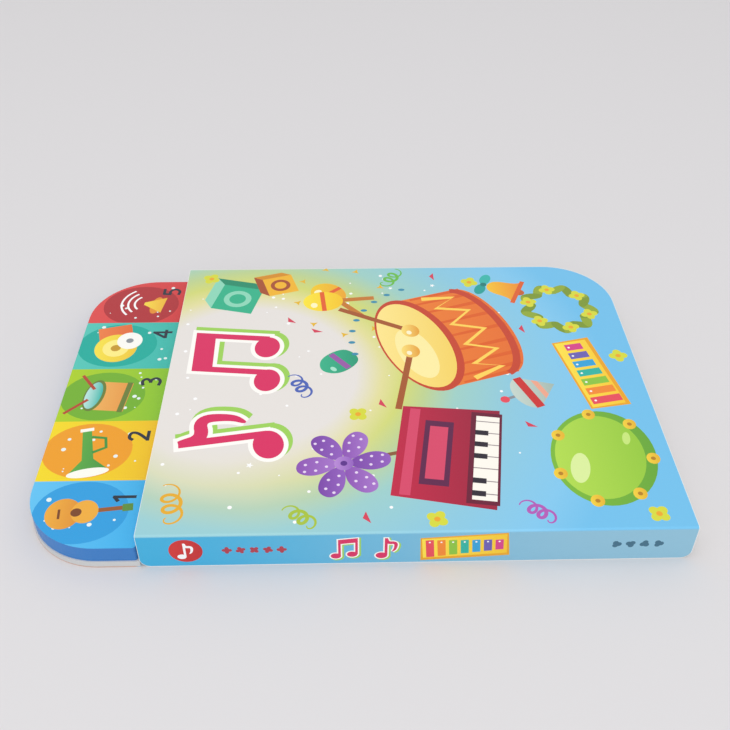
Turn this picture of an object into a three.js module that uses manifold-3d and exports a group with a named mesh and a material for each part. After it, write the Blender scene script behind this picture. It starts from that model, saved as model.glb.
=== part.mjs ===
// A children's sound book, lying closed on its back cover.
// The back cover is the longest piece. A moulded sound panel stands on its top end, and the pages, the spine
// and the shorter front cover fill the rest of its length, so the panel's printed face always shows.
// Units are millimetres. +X runs from the book's top (the panel) to its bottom, +Y from the spine to the
// fore edge, and +Z upwards. The origin is the middle of the underside.

import * as THREE from "three";
import { mergeVertices } from "three/addons/utils/BufferGeometryUtils.js";
import Module from "manifold-3d";

const wasm = await Module();
wasm.setup();

// Driving dimensions: the book
const bookLength = 250;
const bookWidth = 170;
const bookThickness = 17;
const panelLength = 45.5;
const cornerRadius = 30;
const frontBoard = 2;
const spineBoard = 1.5;
const backBoard = 3;
const spineCornerRadius = 4;
const creaseGap = 0.2;
const inkDepth = 0.05;

// Driving dimensions: the page block
const leafCount = 6;
const leafGap = 0.25;
const bindingDepth = 9;
const pageInset = 0.8;

// Driving dimensions: the panel's housing, its base plate and its printed sheet
const housingHeight = 7;
const housingInset = 0.5;
const housingWall = 1.6;
const housingRoof = 1.2;
const innerCorner = 1.5;
const ribThickness = 0.8;
const ribDrop = 3;
const printSheet = 0.25;
const basePlate = 1;
const bandCount = 5;

// Driving dimensions: the press buttons
const buttonRadius = 8;
const buttonClearance = 0.25;
const buttonFlange = 1.4;
const flangeThickness = 0.6;
const buttonSink = 0.1;
const buttonDish = 0.25;
const pillRadius = 2.5;
const pressTravel = 0.5;

// Driving dimensions: screws and the bosses that take them
const bossRadius = 2.5;
const screwRadius = 0.8;
const screwHeadRadius = 1.8;
const screwHeadHeight = 0.8;
const roofCover = 0.5;
const boardScrewX = 9;
const boardScrewInset = 34;
const caseScrewX = 16.5;
const caseScrewInset = 36;

// Driving dimensions: the circuit board and what is soldered to it
const boardWidth = 24;
const boardInset = 11;
const boardCorner = 8;
const boardThickness = 0.8;
const chipSize = 7;
const chipHeight = 1;
const ledRadius = 1.5;
const ledHeight = 1.2;
const ledWindowRadius = 2;
const microphoneRadius = 3;
const microphoneHeight = 2;

// Driving dimensions: the flat speaker, which faces down through the back cover
const speakerInset = 23;
const speakerRadius = 14;
const speakerRim = 2.2;
const speakerSheet = 0.5;
const speakerFlange = 0.8;
const speakerDepth = 2;
const speakerLip = 0.4;
const lipWidth = 1.5;
const coneDome = 5;
const coneRise = 0.6;
const coneFilm = 0.2;
const magnetRadius = 6.5;
const magnetHeight = 0.8;
const soundHoleRadius = 1;
const grillePitch = 3.6;

// Driving dimensions: the button cells, their tub, its contacts and its door
const cellRadius = 5.8;
const cellHeight = 3.05;
const cellCount = 3;
const cellGap = 0.8;
const contactSheet = 0.3;
const contactWidth = 7;
const contactReach = 4;
const tabWidth = 3;
const springRoom = 0.8;
const springBow = 0.3;
const tubWall = 1;
const tubRoof = 0.7;
const doorThickness = 1.2;
const doorRecess = 0.2;
const doorClearance = 0.3;
const tongueWidth = 6;
const tongueDepth = 0.5;
const tongueHeight = 0.6;
const screwBlock = 7;
const doorScrewRadius = 0.9;
const doorScrewHead = 1.9;
const doorScrewHeadHeight = 0.7;
const doorScrewLength = 3.2;
const slotLength = 2.6;
const slotWidth = 0.5;
const slotDepth = 0.3;

// Driving dimensions: the slide switch, reached through a window in the back cover
const switchLength = 9;
const switchWidth = 4.4;
const switchWall = 0.6;
const switchTravel = 3;
const sliderThickness = 1;
const knobLength = 3;
const knobWidth = 2;
const knobRecess = 0.7;
const knobRidge = 0.4;
const windowMargin = 2;

// Driving dimensions: the speaker's two wires
const wireRadius = 0.4;
const wireSpacing = 2;
const wireRun = 8;
const wireBend = 1.6;

// Clearance between pieces that don't move on each other, and the room for solder at a wire's or a tab's end
const fit = 0.1;
const solderGap = 0.3;

const colours = {
  sky: 0x7cc8ee,
  greyboard: 0xe9e4da,
  leaf: 0xf4f1ea,
  housing: 0x3f7fc4,
  base: 0xdfe3e6,
  rubber: 0xd8d8d2,
  circuit: 0x2f7d4a,
  black: 0x1c1c1e,
  steel: 0xb9bcc0,
  brass: 0xc9a860,
  film: 0xe8e6da,
  light: 0xfff1c0,
  redWire: 0xc8322b,
};
// The colour fields of the printed panel, from the spine to the fore edge
const bandColours = [0x66c4f0, 0xf5d62a, 0x9cc93c, 0x4fc0b8, 0xdd5550];
// The inks of the cover's print
const ink = {
  magenta: 0xd92f6c,
  yellow: 0xf9d72e,
  straw: 0xffe29a,
  orange: 0xf0802c,
  lime: 0xc4e478,
  green: 0x7cbf40,
  crimson: 0xb4263c,
  olive: 0x86a83c,
  cream: 0xf2efdf,
  glow: 0xcfdd78,
  red: 0xd5362f,
};
// The front cover's print, from the topmost field down, on a drawing of the size given here that stretches
// with the cover. Each field has its colour, its number of corners, its middle, its half sizes and its turn.
const [squareCount, roundCount] = [4, 24];
const coverDrawing = {
  size: [204.5, 170],
  fields: [
    [ink.magenta, roundCount, -58.1, -49.5, 6, 7, 0],
    [ink.magenta, roundCount, -61.2, -28.5, 6, 7, 0],
    [ink.magenta, squareCount, -73.8, -44.3, 15.7, 1.9, 0],
    [ink.magenta, squareCount, -77, -23.3, 15.7, 1.9, 0],
    [ink.magenta, squareCount, -86.2, -33.8, 5, 12.6, 0],
    [ink.magenta, roundCount, -54.1, -1.2, 6, 7, 0],
    [ink.magenta, squareCount, -70.9, 4.5, 16.8, 2, 0],
    [ink.magenta, squareCount, -78, 11, 8, 3, 0.6],
    [ink.yellow, squareCount, -30.8, 18, 10, 27, 0.75],
    [ink.straw, roundCount, 16.2, -36, 14, 31, 0],
    [ink.orange, roundCount, 34.2, -36, 27, 33, 0],
    [ink.lime, roundCount, 19.2, 54, 20, 25, 0],
    [ink.green, roundCount, 19.2, 54, 24, 29, 0],
    [ink.crimson, squareCount, 69.2, 38, 16, 23, -0.12],
    [ink.olive, roundCount, 105.2, -22, 34, 46, 0],
    [ink.cream, roundCount, -53.8, -6, 44, 46, 0],
    [ink.glow, roundCount, -53.8, -6, 70, 76, 0],
  ],
};
// The spine's print: a disc near the panel, two small marks and a bar.
const spineDrawing = {
  size: [204.5, 14.8],
  fields: [
    [ink.red, roundCount, -85.8, 0, 5, 5, 0],
    [ink.magenta, squareCount, -26, 0, 5, 4, 0],
    [ink.magenta, squareCount, -13, 0, 3, 4, 0],
    [ink.yellow, squareCount, 17.2, 0, 16, 5.6, 0],
  ],
};

// Places worked out from the dimensions: the book's outline and its layers
const left = -bookLength / 2;
const right = bookLength / 2;
const near = -bookWidth / 2;
const far = bookWidth / 2;
const step = left + panelLength;
const coverUnderside = bookThickness - frontBoard;
const pageTop = coverUnderside - creaseGap;
const below = -1;
const above = bookThickness + 1;

// The panel's layers, from the back cover up
const housingLeft = left + housingInset;
const housingRight = step - housingInset;
const housingTop = backBoard + housingHeight;
const roofUnderside = housingTop - housingRoof;
const panelX = (housingLeft + housingRight) / 2;
const baseTop = backBoard + basePlate;
const flangeTop = roofUnderside - fit;
const flangeUnderside = flangeTop - flangeThickness;
const pillBottom = flangeUnderside - fit;
const boardTop = pillBottom - pressTravel - fit;
const boardUnderside = boardTop - boardThickness;
const solderLevel = boardUnderside - solderGap;
const screwTip = housingTop - roofCover - fit;

// The colour fields, and what is placed by them or by the panel's middle
const bands = [...Array(bandCount).keys()];
const bandWidth = bookWidth / bandCount;
const bandMiddle = (band) => near + bandWidth * (band + 0.5);
const led = {
  x: panelX + buttonRadius + buttonClearance + ledWindowRadius,
  y: bandMiddle(bandCount - 1) - bandWidth / 4,
};
const microphoneY = bandMiddle(0);
const boardScrewY = far - boardScrewInset;
const caseScrewY = far - caseScrewInset;
const chipY = -boardScrewY;
const switchY = bandMiddle(1);
const speakerY = far - speakerInset;
const fourPlaces = (x, y) => [-x, x].flatMap((dx) => [-y, y].map((dy) => [panelX + dx, dy]));
const boardScrewPlaces = fourPlaces(boardScrewX, boardScrewY);
const caseScrewPlaces = fourPlaces(caseScrewX, caseScrewY);

// The speaker's layers
const speakerSeat = backBoard + speakerLip;
const speakerBack = speakerSeat + speakerDepth;
const speakerFlangeTop = speakerSeat + speakerFlange;

// The battery tub, with its cells in a row across the book
const doorTop = doorRecess + doorThickness;
const cellBottom = doorTop + contactSheet;
const cellTop = cellBottom + cellHeight;
const tubCeiling = cellTop + contactSheet;
const tubTop = tubCeiling + tubRoof;
const cellPitch = 2 * cellRadius + cellGap;
const cellPlaces = [...Array(cellCount).keys()].map((i) => (i - (cellCount - 1) / 2) * cellPitch);
const [firstCell, lastCell] = [cellPlaces.at(0), cellPlaces.at(-1)];
const cellRoom = cellRadius + fit;
const tubNear = firstCell - cellRoom - tubWall;
const springWall = lastCell + cellRadius + springRoom;
const tubFar = springWall + tubWall;
const tubHalfWidth = cellRoom + tubWall;
const doorFar = tubFar + screwBlock;
const doorScrewY = tubFar + screwBlock / 2;
const doorScrewSeat = doorRecess + doorScrewHeadHeight;
const doorScrewTip = doorScrewSeat + doorScrewLength;

// The switch's reach, counted from the middle of its window
const knobReach = switchTravel / 2 + knobLength / 2;
const sliderWidth = switchWidth - 2 * switchWall - 2 * fit;
const sliderBottom = backBoard + switchWall + fit;
const sliderTop = sliderBottom + sliderThickness;

// Solids

function solidOf(geometry) {
  const bare = new THREE.BufferGeometry();
  const source = geometry.index ? geometry.toNonIndexed() : geometry;
  bare.setAttribute("position", source.getAttribute("position"));
  const merged = mergeVertices(bare, 1e-4);
  return new wasm.Manifold(
    new wasm.Mesh({
      numProp: 3,
      vertProperties: merged.attributes.position.array,
      triVerts: new Uint32Array(merged.index.array),
    }),
  );
}

function geometryOf(solid) {
  const { vertProperties, triVerts } = solid.getMesh();
  const indexed = new THREE.BufferGeometry();
  indexed.setAttribute("position", new THREE.BufferAttribute(vertProperties, 3));
  indexed.setIndex(new THREE.BufferAttribute(triVerts, 1));
  const geometry = indexed.toNonIndexed();
  geometry.computeVertexNormals();
  return geometry;
}

const join = (...geometries) => geometryOf(geometries.map(solidOf).reduce((all, one) => all.add(one)));

const cut = (geometry, ...tools) =>
  geometryOf(tools.map(solidOf).reduce((rest, tool) => rest.subtract(tool), solidOf(geometry)));

const common = (geometry, tool) => geometryOf(solidOf(geometry).intersect(solidOf(tool)));

// A rectangle whose four corners each have their own radius.
// Corners are named as seen from above: near is the spine side, left is the panel's end.
function roundedOutline(x0, y0, x1, y1, { nearLeft = 0, nearRight = 0, farRight = 0, farLeft = 0 } = {}) {
  const outline = new THREE.Shape();
  const quarter = Math.PI / 2;
  const corner = (x, y, radius, start) => {
    if (radius > 0) outline.absarc(x, y, radius, start, start + quarter, false);
    else outline.lineTo(x, y);
  };
  outline.moveTo(x0 + nearLeft, y0);
  corner(x1 - nearRight, y0 + nearRight, nearRight, -quarter);
  corner(x1 - farRight, y1 - farRight, farRight, 0);
  corner(x0 + farLeft, y1 - farLeft, farLeft, quarter);
  corner(x0 + nearLeft, y0 + nearLeft, nearLeft, 2 * quarter);
  return outline;
}

function plate(outline, z0, z1, curveSegments = 12) {
  const settings = { depth: z1 - z0, bevelEnabled: false, curveSegments };
  return new THREE.ExtrudeGeometry(outline, settings).translate(0, 0, z0);
}

function box(x0, x1, y0, y1, z0, z1) {
  const middle = [(x0 + x1) / 2, (y0 + y1) / 2, (z0 + z1) / 2];
  return new THREE.BoxGeometry(x1 - x0, y1 - y0, z1 - z0).translate(...middle);
}

// A box across the panel's middle line, by its half width, its two ends along Y and its two levels.
const across = (halfWidth, y0, y1, z0, z1) => box(panelX - halfWidth, panelX + halfWidth, y0, y1, z0, z1);

function disc(x, y, radius, z0, z1, segments = 24) {
  const cylinder = new THREE.CylinderGeometry(radius, radius, z1 - z0, segments);
  return cylinder.rotateX(Math.PI / 2).translate(x, y, (z0 + z1) / 2);
}

// A revolved body on a vertical axis; the profile is a list of radius and height pairs.
function revolved(x, y, profile, segments = 36) {
  const points = profile.map(([radius, height]) => new THREE.Vector2(radius, height));
  return new THREE.LatheGeometry(points, segments).rotateX(Math.PI / 2).translate(x, y, 0);
}

// Print

// The corners of a field, counted anticlockwise. Four corners make a rectangle, many an ellipse.
function fieldCorners(count, x, y, halfX, halfY, turn) {
  const reach = 1 / Math.cos(Math.PI / count);
  return [...Array(count).keys()].map((i) => {
    const angle = (2 * Math.PI * (i + 0.5)) / count;
    const corner = new THREE.Vector2(halfX * reach * Math.cos(angle), halfY * reach * Math.sin(angle));
    return corner.rotateAround(new THREE.Vector2(), turn).add(new THREE.Vector2(x, y));
  });
}

// A drawing's fields, stretched to the face between two opposite corners.
function stretched({ size, fields }, x0, y0, x1, y1) {
  const scale = new THREE.Vector2((x1 - x0) / size[0], (y1 - y0) / size[1]);
  const middle = new THREE.Vector2((x0 + x1) / 2, (y0 + y1) / 2);
  return fields.map(([colour, ...outline]) => ({
    colour,
    corners: fieldCorners(...outline).map((corner) => corner.multiply(scale).add(middle)),
  }));
}

// Whether a point lies to the left of every side of a field.
const isInside = ({ corners }, x, y) =>
  corners.every((a, i) => {
    const b = corners[(i + 1) % corners.length];
    return (b.x - a.x) * (y - a.y) - (b.y - a.y) * (x - a.x) >= 0;
  });

// Marks the fields on a flat board's printed face, which lies at the given level, and colours each triangle
// of that face by the topmost field over its middle.
function printed(board, level, fields, ground) {
  const inlays = fields.map(({ corners }) => {
    const prism = plate(new THREE.Shape(corners), level - inkDepth, above);
    return common(board, prism);
  });
  const geometry = join(board, ...inlays);
  const position = geometry.getAttribute("position");
  const colour = new THREE.BufferAttribute(new Float32Array(position.count * 3), 3);
  for (let i = 0; i < position.count; i += 3) {
    const middle = (read) => (read(i) + read(i + 1) + read(i + 2)) / 3;
    const [x, y, z] = ["getX", "getY", "getZ"].map((read) => middle((k) => position[read](k)));
    const field = z > level - inkDepth / 2 && fields.find((one) => isInside(one, x, y));
    const { r, g, b } = new THREE.Color(field ? field.colour : ground);
    for (let k = i; k < i + 3; k += 1) colour.setXYZ(k, r, g, b);
  }
  geometry.setAttribute("color", colour);
  return geometry;
}

// Covers

// The front cover is one board, and its upper edge on the spine side is the fold that it opens on.
function frontCover() {
  const outline = roundedOutline(step, near, right, far, { farRight: cornerRadius });
  const board = plate(outline, coverUnderside, bookThickness);
  const fields = stretched(coverDrawing, step, near, right, far);
  return printed(board, bookThickness, fields, colours.sky);
}

// The spine is a strip on edge, drawn as seen from the front and given its thickness towards the pages.
// Its two lower corners are rounded, where the printed cover turns under.
function spine() {
  const corners = { nearLeft: spineCornerRadius, nearRight: spineCornerRadius };
  const strip = plate(roundedOutline(step, 0, right, pageTop, corners), 0, spineBoard, 6);
  const fields = stretched(spineDrawing, step, 0, right, pageTop);
  const board = printed(strip, spineBoard, fields, colours.sky);
  return board.rotateX(Math.PI / 2).translate(0, near + spineBoard, 0);
}

// The back cover runs under everything. Behind the spine its edge steps back by the spine's thickness.
function backCover() {
  const radii = { nearLeft: cornerRadius, farLeft: cornerRadius, farRight: cornerRadius };
  const board = plate(roundedOutline(left, near, right, far, radii), 0, backBoard);
  return cut(
    board,
    box(step, right + 1, near - 1, near + spineBoard, below, above),
    doorBlock(doorClearance, below, above),
    switchWindow(below, above),
    soundHole([panelX, microphoneY]),
    ...grilleHoles().map(soundHole),
  );
}

// Pages

// Board leaves with a thin gap between each two. The gaps stop short of the spine, where the leaves are
// glued into one block.
function pageBlock() {
  const glued = near + spineBoard;
  const corner = { farRight: cornerRadius - pageInset };
  const outline = roundedOutline(step + pageInset, glued, right - pageInset, far - pageInset, corner);
  const pitch = (pageTop - backBoard + leafGap) / leafCount;
  const gaps = [...Array(leafCount - 1).keys()].map((leaf) => {
    const z = backBoard + pitch * (leaf + 1);
    return box(step, right, glued + bindingDepth, far, z - leafGap, z);
  });
  return cut(plate(outline, backBoard, pageTop), ...gaps);
}

// Sound panel

// The outline of the panel, taken in by the given margin all round.
function panelOutline(margin, insideCorner) {
  const outer = cornerRadius - housingInset - margin;
  return roundedOutline(
    housingLeft + margin,
    near + housingInset + margin,
    housingRight - margin,
    far - housingInset - margin,
    { nearLeft: outer, farLeft: outer, nearRight: insideCorner, farRight: insideCorner },
  );
}

// A moulded shell, open below. It has a round hole for each button, a window for the light, a boss for each
// screw, and ribs that tie the outer bosses to the end walls.
function panelHousing() {
  const shell = plate(panelOutline(0, innerCorner), backBoard, housingTop);
  const hollow = plate(panelOutline(housingWall, fit), below, roofUnderside);
  const holeRadius = buttonRadius + buttonClearance;
  const holes = bands.map((band) => disc(panelX, bandMiddle(band), holeRadius, below, above, 36));
  const window = disc(led.x, led.y, ledWindowRadius, below, above);
  const bossTop = housingTop - fit;
  const boardBosses = boardScrewPlaces.map(([x, y]) => disc(x, y, bossRadius, boardTop, bossTop));
  const caseBosses = caseScrewPlaces.map(([x, y]) => disc(x, y, bossRadius, baseTop + fit, bossTop));
  const pilots = [...boardScrewPlaces, ...caseScrewPlaces].map(([x, y]) =>
    disc(x, y, screwRadius + fit, below, screwTip + fit, 12),
  );
  return cut(join(cut(shell, hollow, ...holes, window), ...boardBosses, ...caseBosses, ...ribs()), ...pilots);
}

// Each rib runs from an outer boss to the nearer end wall and hangs from the roof.
function ribs() {
  return caseScrewPlaces.map(([x, y]) => {
    const wall = x < panelX ? housingLeft + housingWall / 2 : housingRight - housingWall / 2;
    const [x0, x1] = [Math.min(x, wall), Math.max(x, wall)];
    const z0 = roofUnderside - ribDrop;
    return box(x0, x1, y - ribThickness / 2, y + ribThickness / 2, z0, roofUnderside + fit);
  });
}

// The printed sheet has the panel's outline and one colour field over each button.
function panelPrint() {
  const sheet = plate(panelOutline(0, innerCorner), housingTop, housingTop + printSheet);
  const fields = bands.map((band) => ({
    colour: bandColours[band % bandColours.length],
    corners: fieldCorners(squareCount, panelX, bandMiddle(band), panelLength, bandWidth / 2, 0),
  }));
  return printed(sheet, housingTop + printSheet, fields, colours.base);
}

// A soft button: a cap with a dished top in its hole, a flange that stays under the roof, and a contact
// pill below.
function button(band) {
  const capTop = housingTop - buttonSink;
  const profile = [
    [0, pillBottom],
    [pillRadius, pillBottom],
    [pillRadius, flangeUnderside],
    [buttonRadius + buttonFlange, flangeUnderside],
    [buttonRadius + buttonFlange, flangeTop],
    [buttonRadius, flangeTop],
    [buttonRadius, capTop - buttonDish],
    [buttonRadius - buttonDish, capTop],
    [buttonRadius * 0.8, capTop],
    [buttonRadius * 0.5, capTop - buttonDish],
    [0, capTop - buttonDish],
  ];
  return revolved(panelX, bandMiddle(band), profile, 24);
}

// The base plate closes the housing from below. The battery tub with its screw block, and the collar that
// seats the speaker, are moulded with it.
function panelBase() {
  const sheet = plate(panelOutline(housingWall + fit, fit), backBoard, baseTop);
  const collar = disc(panelX, speakerY, speakerRadius + fit + tubWall, backBoard, speakerFlangeTop, 36);
  return cut(
    join(sheet, collar, doorBlock(0, doorTop, tubTop)),
    across(cellRoom, firstCell - cellRoom, springWall, below, tubCeiling),
    disc(panelX, doorScrewY, doorScrewRadius + fit, below, doorScrewTip + fit, 16),
    doorTongue(fit, below, doorTop + tongueHeight + fit),
    tabSlot(firstCell - contactReach),
    tabSlot(springWall - fit - contactSheet),
    disc(panelX, speakerY, speakerRadius + fit, speakerSeat, above, 36),
    disc(panelX, speakerY, speakerRadius - lipWidth, below, above, 36),
    soundHole([panelX, microphoneY]),
    switchBlock(fit, below, above),
    ...caseScrewPlaces.map((place) => caseScrew(place, fit)),
  );
}

// Screws

// A round-headed screw from below, which holds the circuit board to its boss.
function boardScrew([x, y]) {
  const head = boardUnderside - screwHeadHeight;
  const profile = [
    [0, head],
    [screwHeadRadius * 0.7, head],
    [screwHeadRadius, head + screwHeadHeight / 2],
    [screwHeadRadius, boardUnderside],
    [screwRadius, boardUnderside],
    [screwRadius, screwTip],
    [0, screwTip],
  ];
  return revolved(x, y, profile, 16);
}

// A flush screw from below, which holds the base plate. The same form, grown by the clearance, cuts its seat.
function caseScrew([x, y], grown) {
  const head = backBoard + fit - grown;
  const tip = roofUnderside + grown;
  const profile = [
    [0, head],
    [screwHeadRadius + grown, head],
    [screwRadius + grown, baseTop - fit + grown],
    [screwRadius + grown, tip],
    [0, tip],
  ];
  return revolved(x, y, profile, 16);
}

function batteryDoorScrew() {
  const profile = [
    [0, doorRecess],
    [doorScrewHead, doorRecess],
    [doorScrewHead, doorScrewSeat],
    [doorScrewRadius, doorScrewSeat],
    [doorScrewRadius, doorScrewTip],
    [0, doorScrewTip],
  ];
  const halves = [slotLength / 2, slotWidth / 2];
  const cross = [halves, halves.toReversed()].map(([x, y]) =>
    across(x, doorScrewY - y, doorScrewY + y, below, doorRecess + slotDepth),
  );
  return cut(revolved(panelX, doorScrewY, profile, 20), ...cross);
}

// Circuit board

function circuitBoard() {
  const [x, y, radius] = [boardWidth / 2, far - boardInset, boardCorner];
  const radii = { nearLeft: radius, nearRight: radius, farRight: radius, farLeft: radius };
  const outline = roundedOutline(panelX - x, -y, panelX + x, y, radii);
  const holes = boardScrewPlaces.map((place) => disc(...place, screwRadius + fit, below, above, 12));
  return cut(plate(outline, boardUnderside, boardTop, 4), ...holes);
}

function soundChip() {
  const half = chipSize / 2;
  return across(half, chipY - half, chipY + half, boardUnderside - chipHeight, boardUnderside);
}

// Speaker

function speakerFrame() {
  const rim = speakerRadius - speakerRim;
  const neck = magnetRadius + speakerSheet;
  return revolved(panelX, speakerY, [
    [0, speakerBack - speakerSheet],
    [neck, speakerBack - speakerSheet],
    [rim, speakerSeat],
    [speakerRadius, speakerSeat],
    [speakerRadius, speakerFlangeTop],
    [rim + speakerSheet, speakerFlangeTop],
    [neck + speakerSheet, speakerBack],
    [0, speakerBack],
  ]);
}

// The cone is a film with a domed middle and a flat rim, which ends where the frame's slope comes down to it.
function speakerCone() {
  const steps = 6;
  const under = [...Array(steps + 1).keys()].map((i) => {
    const share = i / steps;
    return [coneDome * share, speakerSeat + fit + coneRise * Math.cos((share * Math.PI) / 2)];
  });
  const rim = speakerRadius - speakerRim;
  const slope = (rim - magnetRadius - speakerSheet) / (speakerDepth - speakerSheet);
  under.push([rim - (coneFilm + 2 * fit) * slope, speakerSeat + fit]);
  const over = under.map(([radius, z]) => [radius, z + coneFilm]).reverse();
  return revolved(panelX, speakerY, [...under, ...over]);
}

// The middles of the speaker's sound holes, in a triangular pattern: one, then a ring of six, then twelve.
function grilleHoles() {
  const steps = [-2, -1, 0, 1, 2];
  const places = steps.flatMap((row) => steps.map((column) => [row, column]));
  return places
    .filter(([row, column]) => Math.abs(row + column) <= 2)
    .map(([row, column]) => [
      panelX + grillePitch * (column + row / 2),
      speakerY + grillePitch * row * Math.sin(Math.PI / 3),
    ]);
}

const soundHole = ([x, y]) => disc(x, y, soundHoleRadius, below, above, 12);

// Battery compartment

// The outline of the door, and of the tub and screw block that it covers, grown by the clearance.
const doorBlock = (grown, z0, z1) => across(tubHalfWidth + grown, tubNear - grown, doorFar + grown, z0, z1);

// The door's tongue hooks into the tub's wall at the end away from the screw.
function doorTongue(grown, z0, z1) {
  const middle = tubNear + tubWall / 2;
  const half = tongueDepth / 2 + grown;
  return across(tongueWidth / 2 + grown, middle - half, middle + half, z0, z1);
}

function batteryDoor() {
  return cut(
    join(doorBlock(0, doorRecess, doorTop), doorTongue(0, doorTop - fit, doorTop + tongueHeight)),
    disc(panelX, doorScrewY, doorScrewRadius + fit, below, above, 16),
    disc(panelX, doorScrewY, doorScrewHead + fit, below, doorScrewSeat, 20),
  );
}

const cell = (y) => disc(panelX, y, cellRadius, cellBottom, cellTop, 32);

// A flat link between two neighbouring cells.
const link = (y0, y1, z) =>
  across(contactWidth / 2, y0 - contactReach, y1 + contactReach, z, z + contactSheet);

// The slot in the tub's roof through which a contact's tab stands up to the circuit board.
const tabSlot = (y) => across(tabWidth / 2 + fit, y - fit, y + contactSheet + fit, cellTop, above);

// The contact on top of the first cell, with its tab turned up at one end.
function negativeContact() {
  const end = firstCell - contactReach;
  const tab = across(tabWidth / 2, end, end + contactSheet, cellTop, solderLevel);
  return join(link(firstCell, firstCell, cellTop), tab);
}

// The contact beside the last cell is a spring strip that bows towards the cell's rim. It is drawn from the
// side and given its width across the panel.
function positiveContact() {
  const y1 = springWall - fit;
  const y0 = y1 - contactSheet;
  const [low, high] = [cellBottom, cellTop];
  const middle = (low + high) / 2;
  const profile = new THREE.Shape();
  profile.moveTo(y1, low);
  profile.quadraticCurveTo(y1 - 2 * springBow, middle, y1, high);
  profile.lineTo(y1, solderLevel);
  profile.lineTo(y0, solderLevel);
  profile.lineTo(y0, high);
  profile.quadraticCurveTo(y0 - 2 * springBow, middle, y0, low);
  const fromSide = new THREE.Matrix4().makeBasis(
    new THREE.Vector3(0, 1, 0),
    new THREE.Vector3(0, 0, 1),
    new THREE.Vector3(1, 0, 0),
  );
  return plate(profile, panelX - tabWidth / 2, panelX + tabWidth / 2, 6).applyMatrix4(fromSide);
}

// Switch

const switchWindow = (z0, z1) => {
  const reach = knobReach + windowMargin;
  return across(knobWidth / 2 + windowMargin, switchY - reach, switchY + reach, z0, z1);
};

const switchBlock = (grown, z0, z1) => {
  const reach = switchLength / 2 + grown;
  return across(switchWidth / 2 + grown, switchY - reach, switchY + reach, z0, z1);
};

// The case hangs under the circuit board and is open below for the knob's stem.
function switchCase() {
  const chamber = knobReach + switchWall + fit;
  const slot = knobReach + fit;
  return cut(
    switchBlock(0, backBoard, boardUnderside),
    across(sliderWidth / 2 + fit, switchY - chamber, switchY + chamber, sliderBottom - fit, sliderTop + fit),
    across(knobWidth / 2 + fit, switchY - slot, switchY + slot, below, sliderBottom),
  );
}

// The knob is stored at the off end of its travel, nearer the spine. Its slider runs inside the case, and
// its stem carries three ridges for the fingertip.
function switchKnob() {
  const middle = switchY - switchTravel / 2;
  const part = (halfWidth, y, half, z0, z1) => across(halfWidth, y - half, y + half, z0, z1);
  const slider = part(sliderWidth / 2, middle, knobLength / 2 + switchWall, sliderBottom, sliderTop);
  const stem = part(knobWidth / 2, middle, knobLength / 2, knobRecess + knobRidge, sliderBottom + fit);
  const ridges = [-1, 0, 1].map((place) =>
    part(
      knobWidth / 2,
      middle + (place * knobLength) / 3,
      knobLength / 12,
      knobRecess,
      knobRecess + 2 * knobRidge,
    ),
  );
  return join(slider, stem, ...ridges);
}

// Wires

// A round insulated wire from the speaker's flange. It rises, runs towards the spine and turns up to the
// circuit board's underside.
function speakerWire(x) {
  const start = { y: speakerY - speakerRadius + speakerSheet, z: speakerFlangeTop + solderGap };
  const level = (start.z + solderLevel) / 2;
  const end = start.y - wireRun;
  const route = [
    [start.y, start.z],
    [start.y - wireBend / 4, (start.z + level) / 2],
    [start.y - wireBend, level],
    [end + wireBend, level],
    [end + wireBend / 4, (level + solderLevel) / 2],
    [end, solderLevel],
  ];
  const path = new THREE.CatmullRomCurve3(route.map(([y, z]) => new THREE.Vector3(x, y, z)));
  const section = new THREE.Shape();
  section.absarc(0, 0, wireRadius, 0, 2 * Math.PI);
  return new THREE.ExtrudeGeometry(section, { steps: 16, curveSegments: 4, extrudePath: path });
}

// Assembly

const book = new THREE.Group();

function add(name, geometry, colour, roughness = 0.6, metalness = 0) {
  const material = new THREE.MeshStandardMaterial({ color: colour, roughness, metalness });
  const mesh = new THREE.Mesh(geometry, material);
  mesh.name = name;
  book.add(mesh);
  return mesh;
}

function addPrinted(name, geometry) {
  add(name, geometry, 0xffffff, 0.35).material.vertexColors = true;
}

const addMetal = (name, geometry, colour = colours.steel) => add(name, geometry, colour, 0.35, 1);

addPrinted("front_cover", frontCover());
addPrinted("spine", spine());
add("back_cover", backCover(), colours.greyboard, 0.8);
add("page_block", pageBlock(), colours.leaf, 0.7);

add("panel_housing", panelHousing(), colours.housing, 0.45);
add("panel_base", panelBase(), colours.base, 0.5);
addPrinted("panel_print", panelPrint());
bands.forEach((band) => add(`button_cap_${band + 1}`, button(band), colours.rubber, 0.8));

add("circuit_board", circuitBoard(), colours.circuit, 0.5);
boardScrewPlaces.forEach((place, i) => addMetal(`board_screw_${i + 1}`, boardScrew(place)));
caseScrewPlaces.forEach((place, i) => addMetal(`case_screw_${i + 1}`, caseScrew(place, 0)));
add("sound_chip", soundChip(), colours.black);
add("panel_light", disc(led.x, led.y, ledRadius, boardTop, boardTop + ledHeight), colours.light, 0.2);
const microphoneBottom = boardUnderside - microphoneHeight;
addMetal("microphone", disc(panelX, microphoneY, microphoneRadius, microphoneBottom, boardUnderside));

addMetal("speaker_frame", speakerFrame());
add("speaker_cone", speakerCone(), colours.film, 0.5);
const magnet = disc(panelX, speakerY, magnetRadius, speakerBack, speakerBack + magnetHeight, 32);
add("speaker_magnet", magnet, colours.black);
add("speaker_wire_1", speakerWire(panelX - wireSpacing / 2), colours.redWire, 0.5);
add("speaker_wire_2", speakerWire(panelX + wireSpacing / 2), colours.black, 0.5);

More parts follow.
